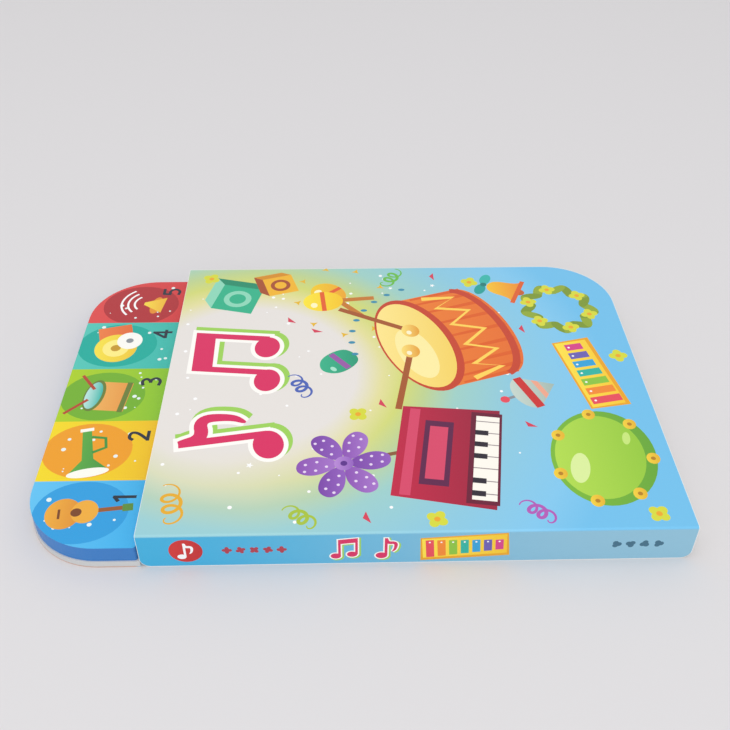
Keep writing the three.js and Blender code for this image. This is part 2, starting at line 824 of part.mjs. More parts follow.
cellPlaces.forEach((y, i) => addMetal(`button_cell_${i + 1}`, cell(y)));
addMetal("negative_contact", negativeContact(), colours.brass);
addMetal("lower_link", link(firstCell, firstCell + cellPitch, doorTop), colours.brass);
addMetal("upper_link", link(lastCell - cellPitch, lastCell, cellTop), colours.brass);
addMetal("positive_contact", positiveContact(), colours.brass);
add("battery_door", batteryDoor(), colours.base, 0.5);
addMetal("battery_door_screw", batteryDoorScrew());

addMetal("switch_case", switchCase());
add("switch_knob", switchKnob(), colours.black, 0.5);

export default book;
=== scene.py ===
# %% [markdown]
# A children's sound book
# The book lies closed on its back cover. Its boards, its moulded sound panel and everything inside the panel
# come from the packed model. This lesson adds what makes it look printed, laminated and cut: thin printed
# sheets drawn as flat shapes, boards with pressed edges, and a material for every piece.

# %% Load the packed book
import math

import bpy
import numpy as np
from mathutils import Matrix, Vector
from mathutils.geometry import delaunay_2d_cdt


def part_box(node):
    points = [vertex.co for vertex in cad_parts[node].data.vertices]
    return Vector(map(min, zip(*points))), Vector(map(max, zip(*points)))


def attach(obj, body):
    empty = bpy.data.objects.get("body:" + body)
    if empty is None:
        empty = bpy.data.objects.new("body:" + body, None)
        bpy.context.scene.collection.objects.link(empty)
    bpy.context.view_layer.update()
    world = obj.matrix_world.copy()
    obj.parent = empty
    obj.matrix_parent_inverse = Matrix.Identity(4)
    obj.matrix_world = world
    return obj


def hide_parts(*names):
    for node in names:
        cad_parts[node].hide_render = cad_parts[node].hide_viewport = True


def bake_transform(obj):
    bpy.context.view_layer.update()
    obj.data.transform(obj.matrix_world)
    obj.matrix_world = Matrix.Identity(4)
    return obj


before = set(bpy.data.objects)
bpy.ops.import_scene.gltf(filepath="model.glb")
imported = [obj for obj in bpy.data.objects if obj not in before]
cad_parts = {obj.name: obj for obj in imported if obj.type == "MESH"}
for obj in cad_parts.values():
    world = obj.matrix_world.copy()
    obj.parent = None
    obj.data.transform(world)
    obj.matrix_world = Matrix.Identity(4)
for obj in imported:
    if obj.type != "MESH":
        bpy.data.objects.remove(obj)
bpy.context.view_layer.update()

MM = 0.001
cover_low, cover_high = np.array(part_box("front_cover")) / MM
back_low, back_high = np.array(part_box("back_cover")) / MM
panel_low, panel_high = np.array(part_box("panel_print")) / MM
spine_low, spine_high = np.array(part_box("spine")) / MM
page_low, page_high = np.array(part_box("page_block")) / MM
print("front cover", np.round(cover_high - cover_low, 2), "panel", np.round(panel_high - panel_low, 2))

# %% [markdown]
# Camera
# The photograph looks down on the spine from a little under 40 degrees. A camera set by eye drifts at the
# corners, so its place was worked out from the outlines of the cover and the panel, in the book's own frame.

# %% Camera at the photograph's angle
CAMERA_PLACE = Vector((-2.91, -306.28, 279.63)) * MM
CAMERA_PITCH, CAMERA_YAW, CAMERA_ROLL = 0.6935, -0.0270, 0.0053
FOCAL_PIXELS, PICTURE_PIXELS, SENSOR = 939.3, 730, 36.0


def linked(name, data):
    """An object with this data, linked to the scene."""
    made = bpy.data.objects.new(name, data)
    bpy.context.scene.collection.objects.link(made)
    return made


camera_data = bpy.data.cameras.new("camera")
camera_data.sensor_width = SENSOR
camera_data.lens = FOCAL_PIXELS / PICTURE_PIXELS * SENSOR
camera = linked("camera", camera_data)
turn = Matrix.Rotation(CAMERA_YAW, 4, "Z") @ Matrix.Rotation(math.pi / 2 - CAMERA_PITCH, 4, "X")
camera.matrix_world = Matrix.Translation(CAMERA_PLACE) @ turn @ Matrix.Rotation(CAMERA_ROLL, 4, "Z")
bpy.context.scene.camera = camera
print("lens", round(camera_data.lens, 1), "mm")

# %% [markdown]
# Shader expressions
# A material is easier to read as arithmetic than as a web of nodes. One small class wraps a socket, so that
# 1 - mask or height * 0.5 adds the Math nodes by itself, and one method adds any other node.

# %% A socket that can be used in an expression


class Link:
    """A node's output, which can be added, multiplied and compared like a number."""

    def __init__(self, tree, socket=None):
        self.tree = tree
        self.socket = socket

    def node(self, kind, settings=None, output=0, **inputs):
        """Add a node, set its settings first and then its sockets, and give one of its outputs."""
        made = self.tree.nodes.new(kind)
        for name, value in (settings or {}).items():
            if name == "stops":
                set_stops(made.color_ramp, value)
            else:
                setattr(made, name, value)
        for name, value in inputs.items():
            key = int(name[1:]) if name[1:].isdigit() else name.replace("_", " ")
            self.feed(made.inputs[key], value)
        return Link(self.tree, made.outputs[output])

    def feed(self, socket, value):
        """Link a socket to a value, or write a plain value into it."""
        if isinstance(value, Link):
            self.tree.links.new(value.socket, socket)
        else:
            socket.default_value = value

    def math(self, operation, first, second=0.0):
        """One Math node."""
        return self.node("ShaderNodeMath", {"operation": operation}, i0=first, i1=second)

    def __add__(self, other):
        return self.math("ADD", self, other)

    def __sub__(self, other):
        return self.math("SUBTRACT", self, other)

    def __rsub__(self, other):
        return self.math("SUBTRACT", other, self)

    def __mul__(self, other):
        return self.math("MULTIPLY", self, other)

    def __pow__(self, other):
        return self.math("POWER", self, other)

    __radd__ = __add__
    __rmul__ = __mul__

    def step(self, low, high):
        """0 below low, 1 above high, and a smooth rise between them."""
        settings = {"interpolation_type": "SMOOTHSTEP"}
        return self.node("ShaderNodeMapRange", settings, Value=self, From_Min=low, From_Max=high)

    def mix(self, first, second):
        """first where this value is 0 and second where it is 1; both are colours."""
        settings = {"data_type": "RGBA"}
        return self.node("ShaderNodeMix", settings, output=2, i0=self, i6=first, i7=second)

    def parts(self):
        """The three numbers of a vector."""
        split = self.node("ShaderNodeSeparateXYZ", Vector=self).socket.node
        return [Link(self.tree, output) for output in split.outputs]


print("methods of a link:", ", ".join(name for name in vars(Link) if not name.startswith("__")))

# %% [markdown]
# Materials from expressions
# A finish is a function that starts from an empty link and gives the values of the surface's sockets. These
# helpers make the colours, the places, the patches and the relief that most finishes share.

# %% Helpers of the finishes


def set_stops(ramp, stops):
    """Give a colour ramp its places and colours."""
    while len(ramp.elements) < len(stops):
        ramp.elements.new(1.0)
    for element, (place, value) in zip(ramp.elements, stops):
        element.position = place
        element.color = value


def colour(code, share=1.0):
    """A colour written as hexadecimal sRGB, as the linear values that Blender mixes, times a share."""
    values = np.array([code >> 16 & 255, code >> 8 & 255, code & 255]) / 255
    linear = np.where(values > 0.04045, ((values + 0.055) / 1.055) ** 2.4, values / 12.92)
    return (*(share * linear).tolist(), 1.0)


def material(name, paint):
    """Make a material from a function that gives the surface's socket values."""
    made = bpy.data.materials.new(name)
    made.use_nodes = True
    shader = made.node_tree.nodes["Principled BSDF"]
    start = Link(made.node_tree)
    for socket, value in paint(start).items():
        start.feed(shader.inputs[socket], value)
    return made


def place_of(start):
    """The three coordinates of the surface point in millimetres, in the book's frame."""
    here = start.node("ShaderNodeTexCoord", output=3)
    scaled = here.node("ShaderNodeVectorMath", {"operation": "SCALE"}, Vector=here, Scale=1 / MM)
    return scaled, *scaled.parts()


def noise(start, where, scale, detail=2.0):
    """Soft random values from 0 to 1; scale counts the patches in a millimetre."""
    return start.node("ShaderNodeTexNoise", Vector=where, Scale=scale, Detail=detail)


def relief(start, height, strength, distance=0.05 * MM):
    """Fine unevenness: the normal that a height gives."""
    return start.node("ShaderNodeBump", Height=height, Strength=strength, Distance=distance)


print("sky blue in linear light:", np.round(colour(0x84CAF0)[:3], 3))

# %% [markdown]
# Printed sheets
# Children's print is flat shapes on a soft ground, in ink on thin card. It could be a picture on a plane, or
# masks in a shader. Here a sheet is drawn as polygons in millimetres, later ones over earlier ones, because
# they stay sharp at any distance and need no picture.

# %% Shapes in reading position: the first number runs right, the second up


def around(x, y, angle, wide, high=None):
    """Points round a middle: it plus one half size times the cosine and the other times the sine."""
    return np.stack([x + wide * np.cos(angle), y + (high or wide) * np.sin(angle)], axis=1)


def ellipse(x, y, wide, high=None, count=36, start=0.0, end=1.0):
    """Points round an ellipse, or a part of it, at even angles."""
    return around(x, y, 2 * math.pi * np.linspace(start, end, count, endpoint=end - start < 1), wide, high)


def star(x, y, outer, inner, points=5, turn=0.0):
    """Points on two circles in turn, so that every second one reaches out."""
    angle = turn + math.pi * np.arange(2 * points) / points + math.pi / 2
    return around(x, y, angle, np.where(np.arange(2 * points) % 2 == 0, outer, inner))


def petals(x, y, radius, count, depth=0.35, turn=0.0):
    """A flower: a circle whose radius swells and shrinks count times."""
    angle = 2 * math.pi * np.arange(16 * count) / (16 * count)
    reach = radius * (1 - depth + depth * np.abs(np.cos(count * (angle - turn) / 2)))
    return around(x, y, angle, reach)


def bar(x, y, wide, high, taper=0.0):
    """A rectangle about its middle, whose top is narrower by the share in taper."""
    top, foot = wide / 2 * (1 - taper), wide / 2
    corners = [(-foot, -high / 2), (foot, -high / 2), (top, high / 2), (-top, high / 2)]
    return np.array(corners) + (x, y)


def smooth(points, closed=False):
    """Corner cutting: every side gives way to its points at one and three quarters, three times over."""
    line = np.asarray(points, float)
    for _ in range(3):
        before, after = (line, np.roll(line, -1, axis=0)) if closed else (line[:-1], line[1:])
        pairs = np.stack([0.75 * before + 0.25 * after, 0.25 * before + 0.75 * after], axis=1)
        quarters = pairs.reshape(-1, 2)
        line = quarters if closed else np.concatenate([line[:1], quarters, line[-1:]])
    return line


def ribbon(points, width):
    """A band along a line, moved to each side along its normal; several widths are spread along it."""
    line = np.asarray(points, float)
    along = np.gradient(line, axis=0)
    side = np.stack([-along[:, 1], along[:, 0]], axis=1) / np.linalg.norm(along, axis=1)[:, None]
    widths = np.atleast_1d(width)
    half = np.interp(np.linspace(0, 1, len(line)), np.linspace(0, 1, len(widths)), widths)[:, None] / 2
    return np.concatenate([line + side * half, (line - side * half)[::-1]])


def streamer(loops, radius, width):
    """A paper curl: a circle that is carried along while it turns, which leaves loops behind it."""
    t = np.linspace(0, loops, 20 * loops)
    angle = 2 * math.pi * t + 0.8
    line = around(1.8 * radius * t, 0, angle, radius, 1.15 * radius)
    return ribbon(line - (0.9 * radius * loops, 0), [0.3 * width, width, width, 0.3 * width])


def spun(points, angle):
    """The points turned about the origin, anticlockwise for a positive angle."""
    turn = np.array([[math.cos(angle), math.sin(angle)], [-math.sin(angle), math.cos(angle)]])
    return np.asarray(points) @ turn


def placed(layers, x, y, turn=0.0, scale=1.0):
    """Carry a drawing in reading position onto the book: right becomes +Y and up becomes -X."""
    moved = []
    for points, *ink in layers:
        right, up = scale * spun(points, turn).T
        moved.append((np.stack([x - up, y + right], axis=1), *ink))
    return moved


print("an ellipse has", len(ellipse(0, 0, 1)), "points and a flower", len(petals(0, 0, 1, 4)))

# %% [markdown]
# The sheet itself
# The drawing must become one mesh, because shapes stacked at one height would flicker. Blender's constrained
# triangulation cuts it along every outline. A triangle belongs to the last outline that winds round its
# middle and carries that shape's ink at its corners, which may change evenly along the shape. Layer 0 is the
# bare white cut edge and layer 1 the ground, which the material colours by itself.

# %% Cut a drawing into a coloured mesh
GROUND = "ground"


def winding(points, outline):
    """How often the outline turns round each point: edges across the ray to the right, up less down."""
    start, end = outline, np.roll(outline, -1, axis=0)
    x, y = points[:, :1], points[:, 1:]
    side = (end[:, 0] - start[:, 0]) * (y - start[:, 1]) - (x - start[:, 0]) * (end[:, 1] - start[:, 1])
    rising = (start[:, 1] <= y) & (y < end[:, 1]) & (side > 0)
    falling = (end[:, 1] <= y) & (y < start[:, 1]) & (side < 0)
    return rising.sum(axis=1) - falling.sum(axis=1)


def cut_sheet(name, edge, ground, layers, lines=()):
    """A flat mesh at height 0, in millimetres, with a colour at each corner; alpha 0 marks the ground."""
    shapes = [(edge, 0xF7F5F0), (ground, GROUND), *layers]
    ends = np.cumsum([len(shape[0]) for shape in shapes])
    faces = [list(range(end - len(shape[0]), end)) for shape, end in zip(shapes, ends)]
    edges = [(ends[-1] + 2 * i, ends[-1] + 2 * i + 1) for i in range(len(lines))]
    points = np.concatenate([shape[0] for shape in shapes] + [np.array(line) for line in lines])
    cut = delaunay_2d_cdt(points.tolist(), edges, faces, 0, 1e-5)
    corners, triangles = np.array(cut[0]), np.array(cut[2])
    middles = corners[triangles].mean(axis=1)
    top = np.full(len(triangles), -1)
    for layer, shape in enumerate(shapes):
        top[winding(middles, shape[0]) != 0] = layer
    top[winding(middles, edge) == 0] = -1
    triangles, top = triangles[top >= 0], top[top >= 0]
    used, numbers = np.unique(triangles, return_inverse=True)
    mesh = bpy.data.meshes.new(name)
    flat = np.column_stack([corners[used], np.zeros(len(used))])
    mesh.from_pydata(flat.tolist(), [], numbers.reshape(-1, 3).tolist())
    inks = corner_inks(corners[triangles], shapes, top)
    mesh.attributes.new("ink", "FLOAT_COLOR", "CORNER").data.foreach_set("color", inks.ravel())
    print(name, len(triangles), "triangles")
    return mesh


def corner_inks(corners, shapes, top):
    """Each corner's colour: its layer's first ink, carried evenly to the second along the layer's length."""
    first = np.array([colour(0xFFFFFF if shape[1] == GROUND else shape[1]) for shape in shapes])
    last = np.array([colour(shape[2]) if len(shape) > 2 else first[i] for i, shape in enumerate(shapes)])
    low = np.array([shape[0][:, 0].min() for shape in shapes])
    high = np.array([shape[0][:, 0].max() for shape in shapes])
    share = (corners[:, :, 0] - low[top][:, None]) / (high - low)[top][:, None]
    share = np.clip(share, 0, 1)[:, :, None]
    values = first[top][:, None] * (1 - share) + last[top][:, None] * share
    values[:, :, 3] = (top != 1)[:, None]
    return values.astype(np.float32)


print("a point inside a square is wound", winding(np.zeros((1, 2)), bar(0, 0, 1, 1))[0], "time round")

# %% [markdown]
# A sheet or board as a finished piece
# A flat mesh is shaped by a function of its places, gets its wall with Solidify, and is then a plain mesh
# that rides on a body of the book. Its outline is a rectangle with a radius for each corner.

# %% Make a piece of a mesh


def piece(name, mesh, finish, body, shape, thickness=0.0):
    """Link a mesh as a finished piece: shaped, given its wall, and riding on its body."""
    place = np.empty(3 * len(mesh.vertices), np.float32)
    mesh.vertices.foreach_get("co", place)
    mesh.vertices.foreach_set("co", (shape(place.reshape(-1, 3)) * MM).astype(np.float32).ravel())
    mesh.validate()
    made = linked(name, mesh)
    mesh.materials.append(finish)
    if thickness:
        wall = made.modifiers.new("wall", "SOLIDIFY")
        wall.thickness = thickness * MM
        wall.offset = -1
        settled(made)
    if body:
        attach(made, body)
    return made


def settled(made):
    """Apply a piece's modifiers, so that its mesh is final."""
    bpy.context.view_layer.update()
    graph = bpy.context.evaluated_depsgraph_get()
    mesh = bpy.data.meshes.new_from_object(made.evaluated_get(graph))
    made.modifiers.clear()
    made.data = mesh


def corner_outline(low, high, radii, margin=0.0, count=16):
    """A rectangle with its own radius at each corner, counted anticlockwise from the low corner."""
    (x0, y0), (x1, y1) = np.array(low[:2]) + margin, np.array(high[:2]) - margin
    middles = [(x0, y0, 1, 1), (x1, y0, -1, 1), (x1, y1, -1, -1), (x0, y1, 1, -1)]
    runs = []
    for i, ((x, y, sx, sy), radius) in enumerate(zip(middles, radii)):
        reach = max(radius - margin, 0.01)
        steps = count if radius > 0.5 else 2
        angle = math.pi + math.pi / 2 * (i + np.linspace(0, 1, steps))
        runs.append(around(x + sx * reach, y + sy * reach, angle, reach))
    return np.concatenate(runs)


print("a rectangle with round corners has", len(corner_outline(cover_low, cover_high, (4.0,) * 4)), "points")

# %% [markdown]
# Notes
# The print is a music party in the bright colours of such books. Each motif is a short function that gives
# its layers from back to front. A note's strokes can grow, so the same function draws the outline behind it.

# %% Notes with an outline


def joined_notes(grow, *ink):
    """A pair of joined notes; grow thickens every stroke, for the outline behind."""
    beam = [(-8 - grow, 8 - grow), (16 + grow, 11 - grow), (16 + grow, 19 + grow), (-8 - grow, 16 + grow)]
    heads = [ellipse(x, y, 6.4 + grow, 5.0 + grow) for x, y in ((-11, -14), (9, -11))]
    stems = [bar(x, y, 3.2 + 2 * grow, 29 + 2 * grow) for x, y in ((-6.4, 0.5), (14.4, 3.5))]
    return [(points, *ink) for points in (*heads, *stems, np.array(beam))]


def single_note(grow, *ink):
    """A single note with its flag."""
    flag = smooth([(0.6, 18), (2, 9), (13, 10), (12, -2), (8, -7)])
    return [
        (ellipse(-5, -14, 7.2 + grow, 5.6 + grow), *ink),
        (bar(0.5, 2, 3.6 + 2 * grow, 32 + 2 * grow), *ink),
        (ribbon(flag, np.array([3, 5.4, 4.8, 3.4, 0.8]) + 2 * grow), *ink),
    ]


def outlined(shape):
    """A magenta motif with a white outline and a light green shadow behind that."""
    shadow = [(points + (1.7, -1.3), *ink) for points, *ink in shape(2.2, 0x9FD45A)]
    return [*shadow, *shape(1.7, 0xFFFDF8), *shape(0, 0xDC2A62)]


print("an outlined note has", len(outlined(single_note)), "layers")

# %% [markdown]
# Instruments
# A drum, a xylophone, a tambourine, shakers and a toy piano, each built of ellipses, bars and ribbons. Bars
# that repeat, such as keys and stripes, come from a loop over their places.

# %% Instruments


def drum():
    """A big drum: a striped shell, a rim, a lit head and two sticks."""
    shell = np.concatenate([ellipse(0, -20, 31, 12, start=0.5), [(31, 10), (-31, 10)]])
    turns = np.linspace(-1.2, 1.2, 11)
    zigzag = np.stack([31 * np.sin(turns), -6 - 9 * np.cos(turns) + 6 * (-1) ** np.arange(11)], axis=1)
    layers = [(shell, 0xF08430, 0xE9702A)]
    for angle in np.linspace(-1.3, 1.3, 9):
        x, y = 31 * math.sin(angle), -20 - 12 * math.cos(angle)
        layers.append((np.array([(x - 1.2, y + 1), (x + 1.2, y + 1), (x + 0.6, 2), (x - 0.6, 2)]), 0xE2611F))
    layers += [
        (ribbon(zigzag, 2.6), 0xFFD65C),
        (ribbon(ellipse(0, -17, 30.6, 12, start=0.51, end=0.99), 3.2), 0xC9452A),
        (ellipse(0, 10, 32.2, 16, 48), 0xC9452A),
        (ellipse(0, 11.2, 29.6, 14, 48), 0xFFE890, 0xF8D665),
        (ellipse(-6, 13, 17, 7.4), 0xFFF0A6),
    ]
    for line in ([(-36, 33), (-4, 15)], [(34, 34), (9, 10)]):
        layers.append((ribbon(line, 2.6), 0xA8592B))
        layers.append((ellipse(*line[1], 4.4, 3.8), 0xFFE27A, 0xE9A030))
        layers.append((ellipse(line[1][0] - 1, line[1][1] + 1, 1.4, 1.1, 12), 0xFFF7D0))
    return layers


def xylophone():
    """A yellow frame with seven bars that shorten to one side."""
    layers = [(bar(0, 0, 66, 25, taper=0.03), 0xEDA81B), (bar(0, 0.6, 62, 21), 0xFFE44A, 0xF9CB2B)]
    for i, ink in enumerate((0xE94B5B, 0xF58B2E, 0x8CC63F, 0x27B5A5, 0x2FA4DC, 0x6B5FB5, 0xD8408B)):
        layers.append((bar(-25.5 + 8.5 * i, 0, 6, 19 - 1.3 * i), ink))
        layers.append((ellipse(-25.5 + 8.5 * i, 7 - 0.6 * i, 0.8, count=10), 0xFFFFFF))
    return layers


def splash(ink, reach, count=9):
    """Small wedges thrown outwards round a motif."""
    angles = np.linspace(0, 2 * math.pi, count, endpoint=False)
    places = around(0, 0, angles, 1.3 * reach, reach)
    return [(star(x, y, 2.2, 0.8, 3, 2.6 * angle), ink) for angle, (x, y) in zip(angles, places)]


def tambourine():
    """A green ring seen at an angle, with its skin, a highlight and yellow jingles."""
    layers = [
        (ellipse(0, 0, 29, 23, 48), 0x7DBB38, 0x66A833),
        (ellipse(0, 1.5, 25.5, 19.6, 48), 0xB4DE4E, 0x96CB3A),
        (ellipse(-9, 10, 9, 4.2), 0xDDF2A0),
        (ellipse(13, -10, 4, 1.8, 16), 0xC9E97C),
    ]
    for x, y in around(0, 0, math.pi * (np.arange(7) / 3.5 + 0.1), 27.2, 21.3):
        layers.append((ellipse(x, y, 3.4, 3.0, 16), 0xF7D33B, 0xE8B62C))
        layers.append((ellipse(x, y, 1.1, count=10), 0xB9821B))
    return layers


def shaker():
    """A green egg shaker with a purple band."""
    egg = smooth([(0, 13), (9, 6), (8, -9), (0, -12), (-8, -9), (-9, 6)], closed=True)
    return [
        (egg, 0x35B58B, 0x249C78),
        (bar(0, -1, 15.4, 3.6), 0x9A5AA8),
        (ellipse(-3, 6, 2.2, 1.4, 14), 0xA8E6CE),
    ]


def maracas():
    """Two yellow maracas that cross."""
    layers = []
    for lean, light, deep in ((-0.5, 0xF6CE24, 0xF0A92A), (0.45, 0xFFE93A, 0xF8C822)):
        one = [
            (bar(0, -9, 3.2, 20), 0xC97B2E),
            (ellipse(0, 8, 8.6, 10.5), light, deep),
            (bar(0, 8, 17, 2.4), 0xE8622C),
            (ellipse(-3, 13, 2.2, 1.8, 14), 0xFFF9C4),
        ]
        layers += [(spun(points, lean), *ink) for points, *ink in one]
    return layers


def piano():
    """A crimson toy piano with its lid, music stand and keys."""
    layers = [
        (bar(0, 5, 52, 38, taper=0.08), 0xC41F45, 0x941638),
        (bar(0, 19, 46, 4), 0xD9476A),
        (bar(0, 9, 34, 11), 0x5E1B4A),
        (bar(0, 9, 28, 7), 0xD9476A),
        (bar(0, -9, 48, 12), 0x6B1033),
        (bar(0, -9.5, 44, 9), 0xFFFAF0),
    ]
    layers += [(bar(-18.8 + 6.3 * i, -9.5, 0.5, 9), 0x9A8F92) for i in range(7)]
    layers += [(bar(-18.8 + 6.3 * i, -7.4, 2.6, 5), 0x2A2230) for i in (0, 1, 3, 4, 5)]
    return layers


print("the drum has", len(drum()), "layers and the piano", len(piano()))

# %% [markdown]
# Toys, flowers and numerals
# Blades, leaves and petals are one shape turned about a middle. A numeral is one to three strokes of even
# width.

# %% Toys, flowers and numerals


def windmill():
    """A purple paper windmill on its stick, with light spots on every blade."""
    layers = [(bar(0, -20, 2.2, 36), 0x8C5A36)]
    blade = smooth([(0, 0), (12, -2), (21, 4), (19, 12), (9, 11)], closed=True)
    spots = [(7, 4), (12, 2.4), (11, 7.6), (16.5, 5.4), (15.6, 9.6)]
    for i in range(6):
        angle = math.pi * i / 3
        layers.append((spun(blade, angle), 0x8C50B4 if i % 2 else 0x7A42A8, 0xA876CC if i % 2 else 0x9460C0))
        layers += [(ellipse(x, y, 0.75, count=10), 0xEBD9F5) for x, y in spun(spots, angle)]
    hub = [(ellipse(0, 0, 4.4, count=24), 0xB98AD8, 0x9460C0), (ellipse(0, 0, 1.6, count=12), 0x5B2C8C)]
    return layers + hub


def toy_block(face, side, mark):
    """A building block seen from a corner, with a ring on its face."""
    return [
        (bar(0, 0, 18, 18), face),
        (np.array([(-9, 9), (9, 9), (13, 13.5), (-4, 13.5)]), mark),
        (np.array([(9, -9), (13, -4), (13, 13.5), (9, 9)]), side),
        (ellipse(0, 0, 6, count=24), mark),
        (ellipse(0, 0, 3.6, count=20), face),
    ]


def flower():
    """A yellow flower with four petals."""
    return [(petals(0, 0, 4.2, 4), 0xD9DC3C), (ellipse(0, 0, 1.2, count=12), 0xF0A92A)]


def wreath():
    """A ring of olive leaves with yellow flowers on it."""
    angles = np.linspace(0, 2 * math.pi, 18, endpoint=False)
    ring = around(0, 0, angles, 16, 15)
    layers = [(ribbon(ellipse(0, 0, 16, 15), 1.6), 0x6E8A2A)]
    for i, (angle, middle) in enumerate(zip(angles, ring)):
        leaf = spun(ellipse(0, 0, 2.5, 5.6, 16), angle + (0.8 if i % 2 else -0.8))
        layers.append((leaf + middle, 0x93AC36 if i % 2 else 0x7E9A2E))
    for middle in ring[::3]:
        layers += [(points + middle, *ink) for points, *ink in flower()]
    return layers


def spinning_top():
    """A red and grey top on its point."""
    body = np.concatenate([ellipse(0, 2, 12, 8, end=0.5), [(-12, 2), (0, -13), (12, 2)]])
    return [
        (bar(0, 11, 1.8, 9), 0x8B8F96),
        (ellipse(0, 15.5, 2.4, count=14), 0xE94B5B),
        (body, 0xC9D8CF, 0xA6BBB2),
        (bar(0, 2, 23.6, 4.4), 0xCF3030),
        (np.array([(-7.6, -3.6), (7.6, -3.6), (5.4, -6.4), (-5.4, -6.4)]), 0xF2A98E),
    ]


def bell():
    """A small golden bell with a teal bow."""
    body = smooth([(-9, -7), (-6, -4), (-5, 6), (0, 9), (5, 6), (6, -4), (9, -7)])
    return [
        (ellipse(0, -8, 2.4, count=14), 0xC9602A),
        (body, 0xF9C630, 0xF08A2C),
        (bar(0, -7, 19, 2.2), 0xE2622A),
        (ellipse(-4.4, 10.5, 4.4, 2.6, 16), 0x1FA39B),
        (ellipse(4.4, 10.5, 4.4, 2.6, 16), 0x35B9AE),
        (ellipse(0, 10, 1.6, count=12), 0x157F79),
    ]


# The strokes of the numerals 1 to 5; those with more than two points are rounded
STROKES = (
    ([(-1.5, 1.7), (0.6, 3.3)], [(0.3, 3.5), (0.3, -3.4)]),
    ([(-1.9, 1.6), (-1.0, 3.1), (1.4, 2.8), (1.4, 0.6), (-1.8, -2.9)], [(-2.3, -2.9), (2.2, -2.9)]),
    (
        [(-1.9, 2.6), (0.4, 3.3), (1.7, 1.8), (0.4, 0.4), (-0.6, 0.3)],
        [(-0.6, 0.3), (1.0, 0.2), (2.0, -1.5), (0.4, -3.1), (-2.0, -2.5)],
    ),
    ([(1.0, 3.5), (1.0, -3.4)], [(1.2, 3.3), (-2.1, -1.2)], [(-2.4, -1.2), (2.5, -1.2)]),
    (
        [(-1.6, 2.9), (2.0, 2.9)],
        [(-1.3, 3.3), (-1.6, 0.2)],
        [(-1.6, 0.5), (0.4, 0.9), (1.9, -1.1), (0.4, -3.1), (-2.0, -2.5)],
    ),
)


def digit(number):
    """A plain numeral, written with one to three strokes."""
    strokes = [smooth(stroke) if len(stroke) > 2 else stroke for stroke in STROKES[number - 1]]
    return [(ribbon(stroke, 1.1), 0x27303E) for stroke in strokes]


print("the wreath has", len(wreath()), "layers")

# %% [markdown]
# The cover's drawing
# The motifs are set over the cover and the spine as one flat drawing, because both are one printed sheet.
# The spine lies beyond the fold, at Y under the cover's edge. Tables hold the places, so a motif is moved by
# changing one line.

# %% Lay the motifs out on the wrap
rng = np.random.default_rng(7)


def confetti(low, high, count, small=0.35, big=0.9):
    """White dots and little stars, thrown evenly over a rectangle."""
    places = rng.uniform(low, high, (count, 2))
    sizes = rng.uniform(small, big, count)
    dots = [(ellipse(x, y, size, count=10), 0xFFFFFF) for (x, y), size in zip(places, sizes)]
    stars = [
        (star(x, y, 2.6 * size, 1.1 * size, 5, x), 0xFFFFFF)
        for (x, y), size in zip(places[::5] + 4, sizes[::5])
    ]
    return dots + stars


# Streamers: place, ink, radius of a loop and turn
CURLS = (
    (-22, -4, 0x4A63B8, 2.4, 0.5),
    (68, -76, 0xB45AB8, 2.2, 0.9),
    (-68, -70, 0xE8AE28, 3.0, 0.2),
    (-20, -77, 0xA9C43C, 2.2, 0.9),
    (20, 76, 0x6CBF4B, 2.4, -0.5),
)
# Small paper wedges: place and turn
WEDGES = (
    (4, -78, 0.4), (-16, 34, 1.2), (-28, 42, 0.8), (78, 34, 0.2),
    (12, -16, 0.5), (40, 77, 0.1), (72, -30, 1.0),
)
FLOWERS = ((30, -79), (112, -78), (118, 14), (2, -22), (58, 72), (-68, 77))

# An arc of blue dots beside the drum
DOTS_MIDDLE, DOTS_REACH = (42, 28), 42


def cover_drawing():
    """Everything on the front cover and the spine, from back to front."""
    layers = confetti((-76, -80), (70, 80), 80)
    for motif, *place in (
        (splash(0xE9B92B, 21), -4, 58, 0.3),
        (windmill(), -4, -50, 0.25, 0.86),
        (toy_block(0x2FB58C, 0x1E8F6C, 0x8FD9BC), -54, 60, -0.25, 1.1),
        (toy_block(0xF4B82B, 0xD98F1E, 0xA8502A), -34, 71, 0.3, 0.8),
        (maracas(), -6, 58, -0.35, 0.9),
        (drum(), 40, 28, 0.32, 1.06),
        (piano(), 42, -46, -0.15, 1.05),
        (spinning_top(), 76, -9, 0.4, 0.85),
        (tambourine(), 98, -48, -0.2, 0.9),
        (xylophone(), 103, 3, 0.2, 0.7),
        (wreath(), 98, 50, 0.2, 0.95),
        (bell(), 74, 66, -0.4, 1.0),
        (shaker(), -6, 12, 0.7, 0.8),
        (outlined(single_note), -50, -36, 0.16, 1.1),
        (outlined(joined_notes), -51, 14, -0.1, 1.12),
    ):
        layers += placed(motif, *place)
    for x, y in FLOWERS:
        layers += placed(flower(), x, y, 0.4 * x)
    for x, y, ink, size, turn in CURLS:
        layers += placed([(streamer(3, size, 1.5), ink)], x, y, turn)
    for x, y, turn in WEDGES:
        layers += placed([(np.array([(-3, -0.7), (3, -1.2), (0.5, 1.2)]), 0xD8405A)], x, y, turn)
    for x, y in around(*DOTS_MIDDLE, np.arange(2.0, 3.6, 0.2), DOTS_REACH):
        layers.append((ellipse(x, y, 1.6, 1.0, 12), 0x3B8FB0))
    return layers + spine_drawing()


